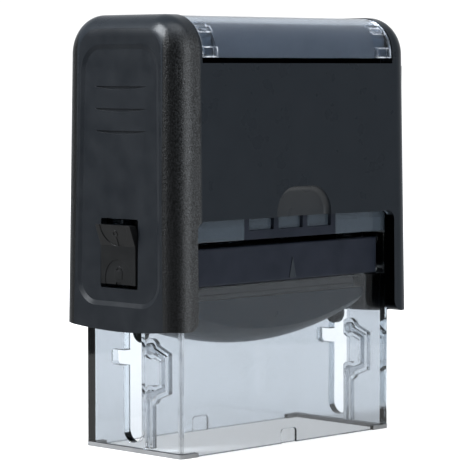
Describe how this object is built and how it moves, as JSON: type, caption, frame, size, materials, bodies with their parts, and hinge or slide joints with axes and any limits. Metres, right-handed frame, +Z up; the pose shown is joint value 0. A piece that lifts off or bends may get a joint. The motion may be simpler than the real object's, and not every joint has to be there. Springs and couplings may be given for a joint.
{
  "type": "self-inking stamp",
  "caption": "Self-inking hand stamp: black spring cap on a clear base, with a turning die carrier, drawer ink pad, lock rockers and lift-off index window.",
  "frame": {"origin": "middle of the footprint, on the surface it stands on", "axes": "+Z up along the stroke, -Y towards the front with the ink drawer, X along the long side"},
  "size_m": [0.0744, 0.035, 0.0894],
  "materials": {
    "clear_plastic": "clear, polished, with a faint blue-grey cast",
    "foot_grey": "soft satin grey",
    "smooth_black": "smooth semi-gloss black",
    "spring_steel": "drawn spring wire",
    "pin_steel": "ground pin",
    "ink_felt": "felt soaked in black ink",
    "grained_black": "fine moulded grain on the corners, smooth between them",
    "smooth_slate": "smooth satin black with a slate cast",
    "inner_black": "plain moulded black",
    "index_card": "plain dark slate card",
    "tinted_window": "polished smoke-tinted cover",
    "foam": "dark closed-cell foam sheet",
    "die_rubber": "laser-cut rubber, dark with ink",
    "rocker_black": "fine satin black"
  },
  "bodies": {
    "base": {"base_frame": "clear_plastic", "left_foot_strip": "foot_grey", "right_foot_strip": "foot_grey", "pad_retainer": "smooth_black", "main_spring": "spring_steel"},
    "cartridge": {"ink_cartridge_tray": "smooth_black", "ink_felt_pad": "ink_felt"},
    "cap": {"housing_shell": "grained_black", "left_side_panel": "smooth_slate", "right_side_panel": "smooth_slate", "yoke": "inner_black", "index_card": "index_card", "left_rocker_pin": "pin_steel", "right_rocker_pin": "pin_steel"},
    "window": {"index_window": "tinted_window"},
    "carrier": {"die_carrier": "inner_black", "die_foam": "foam", "rubber_die": "die_rubber"},
    "left_rocker": {"left_lock_rocker": "rocker_black"},
    "right_rocker": {"right_lock_rocker": "rocker_black"}
  },
  "joints": [
    {"name": "cap_press", "type": "slide", "parent": "base", "child": "cap", "axis": [0, 0, -1], "range_m": [0, 0.0205], "stiffness_N_per_m": 500, "springref_m": -0.012, "deforming": ["main_spring"]},
    {"name": "carrier_flip", "type": "hinge", "parent": "cap", "child": "carrier", "pos_m": [0, 0, 0.02725], "axis": [1, 0, 0], "range_deg": [0, 181]},
    {"name": "pad_slide", "type": "slide", "parent": "base", "child": "cartridge", "axis": [0, 1, 0], "range_m": [-0.03, 0]},
    {"name": "window_lift", "type": "slide", "parent": "cap", "child": "window", "axis": [0, 0, 1], "range_m": [0, 0.012]},
    {"name": "left_rocker_tilt", "type": "hinge", "parent": "cap", "child": "left_rocker", "pos_m": [-0.0336, 0, 0.0362], "axis": [0, 1, 0], "range_deg": [0, 15]},
    {"name": "right_rocker_tilt", "type": "hinge", "parent": "cap", "child": "right_rocker", "pos_m": [0.0336, 0, 0.0362], "axis": [0, -1, 0], "range_deg": [0, 15]}
  ],
  "couplings": [
    {"joint": "carrier_flip", "follows": "cap_press", "rad_per_m": 153.25}
  ]
}
